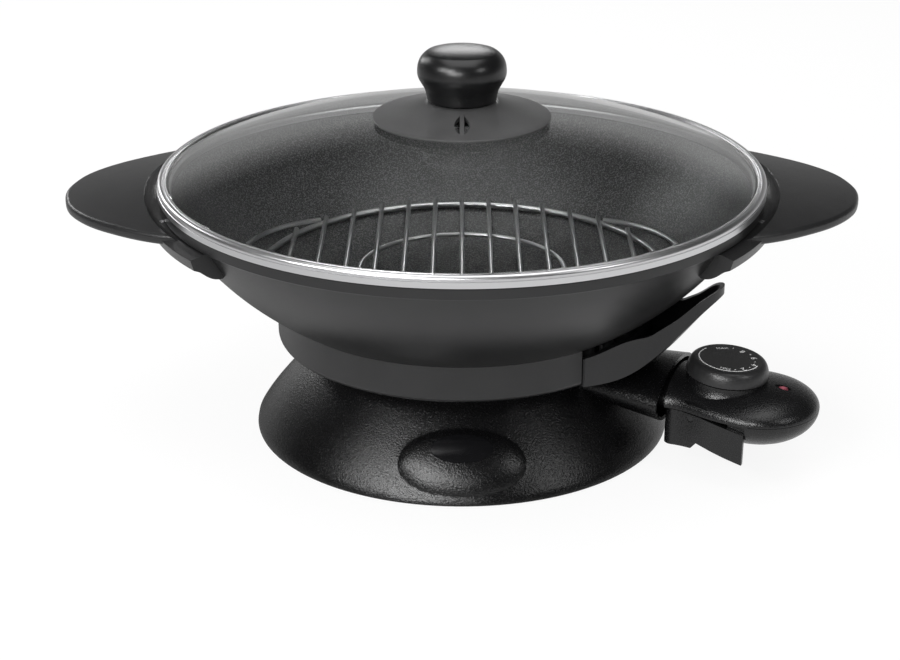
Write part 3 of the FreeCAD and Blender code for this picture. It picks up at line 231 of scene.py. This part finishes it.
def lensWithPaintedGlint(name, look):
    # a red lens with a painted glint: pale pink in the middle, painted into its colour, darker towards the rim
    # with the distance from its centre
    material, tree, shader = newMaterial(name, look["middle"], look["roughness"])
    centre = np.mean(np.array(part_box("lamp_lens")), axis=0)
    away = worked(tree, "MULTIPLY", measured(tree, "DISTANCE", objectPlace(tree), centre), look["rampScale"])
    # painted glint: the colour falls from the pale middle to the dark rim
    glowAndPaintedGlint = ramp(tree, away, look["middle"], look["rim"], look["paintedGlintR"] * look["rampScale"],
                look["rimR"] * look["rampScale"])
    feed(tree, shader.inputs["Base Color"], glowAndPaintedGlint)
    return material


finishes = {
    "base_plastic": mouldedPlastic("pedestalPlastic", pedestalLook),
    "probe_plastic": mouldedPlastic("probePlastic", probeLook),
    "handle_plastic": mouldedPlastic("handlePlastic", handleLook),
    "knob_plastic": mouldedPlastic("knobPlastic", knobLook),
    "collar_plastic": mouldedPlastic("collarPlastic", collarLook),
    "shield_plastic": mouldedPlastic("shieldPlastic", shieldLook),
    "dial_plastic": mouldedPlastic("dialPlastic", dialLook),
    "badge_plate": mouldedPlastic("badgePlate", badgeLook),
    "foot_rubber": mouldedPlastic("footRubber", rubberLook),
    "seal_silicone": mouldedPlastic("sealSilicone", sealLook),
    "insulator": mouldedPlastic("moulding", insulatorLook),
    "lamp_body": mouldedPlastic("lampBody", lampBodyLook),
    "vent_skirt": mouldedPlastic("ventSkirt", ventLook),
    "nonstick": bowlCoating("bowlCoating", coatingLook),
    "rim_steel": metalFinish("rimSteel", rimLook),
    "wire_steel": metalFinish("wireSteel", wireLook),
    "element_steel": metalFinish("elementSheath", sheathLook),
    "screw_steel": metalFinish("screwSteel", screwLook),
    "pin_steel": metalFinish("pinSteel", pinLook),
    "contact_brass": metalFinish("contactBrass", brassLook),
    "dome_glass": clearGlass("domeGlass", glassLook),
    "lamp_red": lensWithPaintedGlint("lampRed", lensLook),
}
slotOf = {part["node"]: part["material_slot"] for part in frame["record"]["subparts"]}
slotOf["vent_dial"] = "vent_skirt"            # the vent's skirt is smoother and greyer than the knob

edgeShading = {"mergeWithin": 0.00002, "flatWeight": 50, "wireAngle": 75, "handleAngle": 50, "otherAngle": 28,
               "glassAngle": 40, "rimAngle": 32}


def sharpened(item, angle):
    # edges steeper than the angle, in degrees, shade as edges and all others as smooth
    split = item.modifiers.new("edges", "EDGE_SPLIT")
    split.split_angle = math.radians(angle)
    split.use_edge_sharp = False


def softened(item, angle):
    # a node's loose triangles are merged for shading, and only its real edges stay sharp
    item.data.polygons.foreach_set("use_smooth", np.ones(len(item.data.polygons), bool))
    weld = item.modifiers.new("merge", "WELD")
    weld.merge_threshold = edgeShading["mergeWithin"]
    sharpened(item, angle)


def flattened(item):
    # large flats keep an even shade beside rounded edges
    flats = item.modifiers.new("flats", "WEIGHTED_NORMAL")
    flats.weight = edgeShading["flatWeight"]


for name, item in nodes.items():
    item.data.materials.clear()
    item.data.materials.append(finishes[slotOf[name]])
    if name.startswith("rack_"):
        softened(item, edgeShading["wireAngle"])
    else:
        softened(item, edgeShading["handleAngle" if name.endswith("_handle") else "otherAngle"])
        flattened(item)
print("stage: finishes on", len(nodes), "nodes")


def newPiece(name, points, faces):
    mesh = bpy.data.meshes.new(name)
    mesh.from_pydata(points, [], faces)
    piece = bpy.data.objects.new(name, mesh)
    bpy.context.scene.collection.objects.link(piece)
    return piece


def arcPoints(start, middle, end, steps):
    # points on the circle through three (r, z) points, from start to end by way of the middle one
    a, b, c = (np.array(p, float) for p in (start, middle, end))
    centre = np.linalg.solve(2 * np.array([b - a, c - a]), [b @ b - a @ a, c @ c - a @ a])
    radius = np.linalg.norm(a - centre)
    turns = [math.atan2(*(p - centre)[::-1]) for p in (a, b, c)]
    for i in (1, 2):
        turns[i] = turns[i - 1] + (turns[i] - turns[i - 1] + math.pi) % (2 * math.pi) - math.pi
    t = np.linspace(turns[0], turns[2], steps + 1)
    return np.stack([centre[0] + radius * np.cos(t), centre[1] + radius * np.sin(t)], 1)


def turnedSkin(name, profile, around):
    # P(i, t) = (r_i cos t, r_i sin t, z_i): a closed (r, z) profile carried once about the vertical axis
    profile = np.asarray(profile, float) / 1000
    turn = np.linspace(0, 2 * math.pi, around, endpoint=False)
    r, z = profile[:, 0:1], profile[:, 1:2]
    grid = np.stack([r * np.cos(turn), r * np.sin(turn), z + 0 * turn], 2)
    i, j = np.meshgrid(np.arange(len(profile)), np.arange(around), indexing="ij")
    k, m = (i + 1) % len(profile), (j + 1) % around
    quads = np.stack([i * around + j, i * around + m, k * around + m, k * around + j], 2).reshape(-1, 4)
    area = np.sum(profile[:, 0] * np.roll(profile[:, 1], -1) - np.roll(profile[:, 0], -1) * profile[:, 1])
    if area < 0:
        quads = quads[:, ::-1]                # a profile that runs the other way would face inwards
    piece = newPiece(name, grid.reshape(-1, 3), quads)
    piece.data.polygons.foreach_set("use_smooth", np.ones(len(quads), bool))
    return piece


lidGlass = {"radius": 496.0, "centreZ": -298.0, "thick": 4.0, "edgeR": 182.0, "edgeRound": 1.0,
            "edgeSteps": 8, "holeR": 5.0, "rings": 64, "around": 720}


def glassHeight(r, drop):
    # a sphere's height at r from the axis: its centre's height plus the root of its radius squared less r
    # squared, where the radius is the upper face's less the drop
    return lidGlass["centreZ"] + np.sqrt((lidGlass["radius"] - drop) ** 2 - r ** 2)


def domeSkin():
    # both faces of the spherical pane, closed by a rounded edge outside and a plain bore inside
    g = lidGlass
    outward = np.linspace(g["holeR"], g["edgeR"] - g["edgeRound"], g["rings"])
    inward = outward[::-1]
    upper = np.stack([outward, glassHeight(outward, 0)], 1)
    lower = np.stack([inward, glassHeight(inward, g["thick"])], 1)
    middle = (g["edgeR"], glassHeight(g["edgeR"], g["thick"] / 2))
    edge = arcPoints(upper[-1], middle, lower[0], g["edgeSteps"])
    piece = turnedSkin("dome_pane", np.concatenate([upper, edge[1:-1], lower]), g["around"])
    piece.data.materials.append(finishes["dome_glass"])
    sharpened(piece, edgeShading["glassAngle"])
    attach(piece, "lid")
    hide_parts("lid_glass")


# stretches of the band's section in order, as (in from the outer radius, up from the foot)
lidRim = {"outerR": 185.0, "bottomZ": 158.3, "around": 720,
          "foot": ((0.0, 0.0), (0.0, 3.3), (0.6, 3.6), (0.6, 4.0)),
          "roll": ((0.1, 4.3), (0.7, 6.2), (2.0, 7.0)), "rollSteps": 12,
          "groove": ((3.0, 7.0), (3.7, 6.1), (4.4, 6.9)), "grooveSteps": 8,
          "innerEdge": ((4.8, 7.0), (5.4, 6.7)), "innerSteps": 8, "seatIn": 5.7, "overGlass": 0.1,
          "slot": ((2.7, 5.2), (2.7, 0.9)),
          "lip": ((8.2, 0.9), (9.3, -0.1), (9.3, -3.8), (8.4, -3.8), (8.4, 0.0))}


def rimSkin():
    # the folded steel band: a step at its foot, a rolled top with a groove, a slot for the glass, a lip inside
    g = lidRim

    def placed(stretch):
        return [(g["outerR"] - back, g["bottomZ"] + up) for back, up in stretch]

    seatR = g["outerR"] - g["seatIn"]
    seat = (seatR, glassHeight(seatR, 0) + g["overGlass"])
    section = [placed(g["foot"]), arcPoints(*placed(g["roll"]), g["rollSteps"]),
               arcPoints(*placed(g["groove"]), g["grooveSteps"]),
               arcPoints(*placed(g["innerEdge"]), seat, g["innerSteps"]), placed(g["slot"]), placed(g["lip"])]
    piece = turnedSkin("rim_band", np.concatenate(section), g["around"])
    piece.data.materials.append(finishes["rim_steel"])
    sharpened(piece, edgeShading["rimAngle"])
    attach(piece, "lid")
    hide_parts("lid_rim")


domeSkin()
rimSkin()
print("stage: lid skins")

# angles are degrees round the dial, anticlockwise from its right-hand side; each word has its angle and radius
dialMarks = {"centreOut": 173.2, "centreUp": 58.6, "tilt": 4.0, "probeTurn": -23.0, "face": 9.2, "proud": 0.04,
             "sunk": 0.01, "arcR": 17.7, "arcWide": 0.62, "arcFrom": 132.0, "arcTo": 332.0, "arcCount": 110,
             "dots": (74, 28, -11, -46, -84), "dotR": 15.6, "dotHalf": 0.32, "dotTurn": 1.2, "dotCount": 5,
             "letterHigh": 3.9, "wordHigh": 2.5, "fontScale": 1.4,
             "words": (("8", 49, 14.2), ("6", 8, 15.2), ("4", -28, 15.6), ("2", -64, 15.6),
                       ("MAX", 100, 14.2), ("MIN", 254, 15.0))}
printLook = {"color": (0.85, 0.85, 0.85), "roughness": 0.55, "wearScale": 900.0, "wornColor": (0.70,) * 3,
             "freshColor": (0.90,) * 3, "wornTo": 0.3, "freshFrom": 0.6}


def whitePrint(name, look):
    # stamped ink, a little thinner in fine spots
    material, tree, shader = newMaterial(name, look["color"], look["roughness"])
    wear = objectNoise(tree, look["wearScale"])
    ink = ramp(tree, wear, look["wornColor"], look["freshColor"], look["wornTo"], look["freshFrom"])
    feed(tree, shader.inputs["Base Color"], ink)
    return material


def ontoDial(points):
    # from the dial's own millimetres (x to the right, y away, z off its face) to its place on the probe: turned
    # back by the probe's turn, leaned by the tilt, moved to the dial's centre and turned with the probe
    d = dialMarks
    turn, tilt = math.radians(d["probeTurn"]), math.radians(d["tilt"])
    x = points[:, 0] * math.cos(turn) + points[:, 1] * math.sin(turn)
    y = -points[:, 0] * math.sin(turn) + points[:, 1] * math.cos(turn)
    z = points[:, 2] + d["face"]
    out = d["centreOut"] + x * math.cos(tilt) + z * math.sin(tilt)
    up = d["centreUp"] - x * math.sin(tilt) + z * math.cos(tilt)
    right = out * math.cos(turn) - y * math.sin(turn)
    back = out * math.sin(turn) + y * math.cos(turn)
    return np.stack([right, back, up], 1) / 1000


def circlePoints(r, degrees):
    return np.stack([r * np.cos(np.radians(degrees)), r * np.sin(np.radians(degrees))], 1)


def raisedStrip(r, wide, degrees):
    # P(k, i) is the i-th angle's point on edge k of four: inner and outer above, outer and inner below; faces
    # join neighbours along the strip and round it, and close both ends
    d, count = dialMarks, len(degrees)
    edges = ((r, d["proud"]), (r + wide, d["proud"]), (r + wide, -d["sunk"]), (r, -d["sunk"]))
    rows = [np.column_stack([circlePoints(edgeR, degrees), np.full(count, z)]) for edgeR, z in edges]
    i = np.arange(count - 1)
    sides = [np.stack([i + a * count, i + b * count, i + 1 + b * count, i + 1 + a * count], 1)
             for a, b in ((0, 1), (1, 2), (2, 3), (3, 0))]
    starts = np.arange(4) * count
    ends = [[starts[0], starts[3], starts[2], starts[1]], starts + count - 1]
    return np.concatenate(rows), np.concatenate(sides + [np.array(ends)]).tolist()


def wordMesh(text, high):
    # raised print: a font outline, filled and given its thickness, laid flat with its middle at the origin
    curve = bpy.data.curves.new("dialWord", "FONT")
    curve.body, curve.align_x, curve.align_y = text, "CENTER", "CENTER"
    curve.size = high * dialMarks["fontScale"]
    curve.extrude = dialMarks["proud"] / 2
    holder = bpy.data.objects.new("dialWord", curve)
    bpy.context.scene.collection.objects.link(holder)
    mesh = bpy.data.meshes.new_from_object(holder.evaluated_get(bpy.context.evaluated_depsgraph_get()))
    bpy.data.objects.remove(holder)
    points = np.zeros(len(mesh.vertices) * 3)
    mesh.vertices.foreach_get("co", points)
    faces = [list(face.vertices) for face in mesh.polygons]
    bpy.data.meshes.remove(mesh)
    return points.reshape(-1, 3), faces


def raisedWord(text, degrees, r):
    # the word turned so that its top points away from the dial's centre, then moved out to its radius
    points, faces = wordMesh(text, dialMarks["letterHigh" if len(text) == 1 else "wordHigh"])
    turn, out = math.radians(degrees - 90), math.radians(degrees)
    x = points[:, 0] * math.cos(turn) - points[:, 1] * math.sin(turn) + r * math.cos(out)
    y = points[:, 0] * math.sin(turn) + points[:, 1] * math.cos(turn) + r * math.sin(out)
    return np.stack([x, y, points[:, 2] + dialMarks["proud"] / 2], 1), faces


def dialPrint():
    # one mesh of white print: the arc, the dots and the words
    d = dialMarks
    marks = [raisedStrip(d["arcR"], d["arcWide"], np.linspace(d["arcFrom"], d["arcTo"], d["arcCount"]))]
    for dot in d["dots"]:
        span = np.linspace(dot - d["dotTurn"], dot + d["dotTurn"], d["dotCount"])
        marks.append(raisedStrip(d["dotR"] - d["dotHalf"], 2 * d["dotHalf"], span))
    marks += [raisedWord(*word) for word in d["words"]]
    points, faces, start = [], [], 0
    for got, shapes in marks:
        points.append(got)
        faces += [[v + start for v in shape] for shape in shapes]
        start += len(got)
    piece = newPiece("dial_print", ontoDial(np.concatenate(points)).tolist(), faces)
    piece.data.materials.append(whitePrint("whitePrint", printLook))
    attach(piece, "dial")


dialPrint()
print("stage: dial print")

studio = {"floorSize": 6.0, "floorColor": 0.90, "floorRoughness": 0.9, "floorSpecular": 0.1, "floorGlow": 0.88,
          "floorMirror": 0.72, "floorFall": (0.15, -0.10, 0.0), "shadeCentre": (-0.03, 0.10, 0.0),
          "shadeFrom": 0.10, "shadeTo": 0.24, "shadeDepth": 0.85,
          "diffuseLevel": 0.55, "sweepLevel": 0.37, "darkLevel": 0.04, "sweepLean": (0.0, 0.4, -1.0),
          "sweepFrom": 0.465, "sweepTo": 0.575}


def straightThrough(tree, path):
    # 1 for a ray that has only passed through glass since the camera
    bounces = worked(tree, "ADD", path.outputs["Glossy Depth"], path.outputs["Diffuse Depth"])
    clear = worked(tree, "LESS_THAN", bounces, 0.5)
    return worked(tree, "MULTIPLY", clear, path.outputs["Is Transmission Ray"])


def floorStrength(tree, path):
    # full to the eye; in a mirror it fades to one side and darkens round the object
    place = objectPlace(tree)
    fade = measured(tree, "DOT_PRODUCT", place, studio["floorFall"])
    level = worked(tree, "ADD", fade, studio["floorMirror"], use_clamp=True)
    away = measured(tree, "DISTANCE", place, studio["shadeCentre"])
    shade = addNode(tree, "ShaderNodeMapRange", away, studio["shadeFrom"], studio["shadeTo"],
                    1.0 - studio["shadeDepth"], 1.0, interpolation_type="SMOOTHSTEP")
    mirrored = worked(tree, "MULTIPLY", level, shade.outputs[0])
    inMirror = path.outputs["Is Glossy Ray"]
    return addNode(tree, "ShaderNodeMapRange", inMirror, 0.0, 1.0, 1.0, mirrored).outputs[0]


def paleFloor():
    # pale paper that takes the object's shadow; metal and glass mirror it at a strength of its own
    half = studio["floorSize"] / 2
    corners = [(-half, -half, 0), (half, -half, 0), (half, half, 0), (-half, half, 0)]
    floor = newPiece("paleFloor", corners, [(0, 1, 2, 3)])
    material, tree, shader = newMaterial("floorPaper", (studio["floorColor"],) * 3, studio["floorRoughness"],
                                         specular=studio["floorSpecular"])
    path = addNode(tree, "ShaderNodeLightPath")
    glowAndPaintedGlint = addNode(tree, "ShaderNodeEmission", Strength=floorStrength(tree, path))
    toCamera = worked(tree, "MULTIPLY", path.outputs["Is Camera Ray"], studio["floorGlow"])
    toMirror = worked(tree, "MAXIMUM", path.outputs["Is Glossy Ray"], straightThrough(tree, path))
    share = worked(tree, "MAXIMUM", toCamera, toMirror)
    feed(tree, tree.nodes["Material Output"].inputs["Surface"],
         mixed(tree, share, shader.outputs[0], glowAndPaintedGlint.outputs[0]))
    floor.data.materials.append(material)


def worldLight():
    # white to the camera and through glass; glossy surfaces mirror a pale sweep below and behind, and a dim
    # room above and in front
    world = bpy.data.worlds.new("studioWorld")
    bpy.context.scene.world = world
    world.use_nodes = True
    tree = world.node_tree
    white = tree.nodes["Background"]
    white.inputs["Color"].default_value = (1, 1, 1, 1)
    white.inputs["Strength"].default_value = 1.0
    path = addNode(tree, "ShaderNodeLightPath")
    plain = addNode(tree, "ShaderNodeBackground", Color=(1, 1, 1, 1), Strength=studio["diffuseLevel"])
    toSky = addNode(tree, "ShaderNodeTexCoord").outputs["Generated"]
    lean = worked(tree, "MULTIPLY_ADD", measured(tree, "DOT_PRODUCT", toSky, studio["sweepLean"]), 0.5, 0.5)
    tone = ramp(tree, lean, (studio["darkLevel"],) * 3, (studio["sweepLevel"],) * 3, studio["sweepFrom"],
                studio["sweepTo"])
    sweep = addNode(tree, "ShaderNodeBackground", Color=tone, Strength=1.0)
    mirrored = worked(tree, "GREATER_THAN", path.outputs["Glossy Depth"], 0.5)
    room = mixed(tree, mirrored, plain.outputs[0], sweep.outputs[0])
    seen = worked(tree, "MAXIMUM", path.outputs["Is Camera Ray"], straightThrough(tree, path))
    feed(tree, tree.nodes["World Output"].inputs["Surface"], mixed(tree, seen, room, white.outputs[0]))


softboxes = {
    "topSoftbox": {"power": 16.0, "size": (1.7, 1.5), "place": (0.0, -0.15, 1.8), "aim": (0.0, -0.15, 0.1)},
    "leftSoftbox": {"power": 7.0, "size": (0.38, 0.38), "place": (-1.15, -0.85, 1.00), "aim": (0, 0, 0.1)},
    "rightSoftbox": {"power": 2.6, "size": (0.38, 0.38), "place": (1.15, -0.85, 1.00), "aim": (0, 0, 0.1)},
    "frontSoftbox": {"power": 10.0, "size": (0.45, 0.35), "place": (-0.85, -1.45, 1.15), "aim": (0, 0, 0.1)},
    "lowSoftbox": {"power": 15.0, "size": (1.1, 0.22), "place": (-0.60, -1.70, 0.72), "aim": (0, 0, 0.05)},
    "backCard": {"power": 1.2, "size": (0.30, 0.22), "place": (0.0, 1.3, 0.66), "aim": (0, 0, 0.24)},
    "shoulderCard": {"power": 2.2, "size": (0.5, 0.4), "place": (-1.00, 0.85, 0.85), "aim": (0, 0, 0.25)},
    "rimCard": {"power": 1.5, "size": (0.35, 0.3), "place": (-1.0, 1.25, 0.55), "aim": (0, 0, 0.2)},
}


def softbox(name, box):
    # an area light that faces its aim: tipped from straight down by the slope, then turned to the bearing
    lamp = bpy.data.lights.new(name, "AREA")
    lamp.energy = box["power"]
    lamp.shape = "RECTANGLE"
    lamp.size, lamp.size_y = box["size"]
    holder = bpy.data.objects.new(name, lamp)
    bpy.context.scene.collection.objects.link(holder)
    holder.location = box["place"]
    x, y, z = np.array(box["place"], float) - np.array(box["aim"], float)
    holder.rotation_euler = (math.atan2(math.hypot(x, y), z), 0.0, math.atan2(x, -y))
    holder.visible_camera = False


view = {"place": (0.0, -1.120515, 0.526076), "tilt": 67.32, "lens": 76.67, "sensor": 36.0, "shift": -0.0133}


def viewCamera():
    lens = bpy.data.cameras.new("viewCamera")
    lens.lens, lens.sensor_width, lens.shift_x = view["lens"], view["sensor"], view["shift"]
    camera = bpy.data.objects.new("viewCamera", lens)
    bpy.context.scene.collection.objects.link(camera)
    camera.location = view["place"]
    camera.rotation_euler = (math.radians(view["tilt"]), 0.0, 0.0)
    bpy.context.scene.camera = camera
    bpy.context.scene.view_settings.view_transform = "Standard"


paleFloor()
worldLight()
for name, box in softboxes.items():
    softbox(name, box)
viewCamera()
print("stage: floor, lamps and camera")
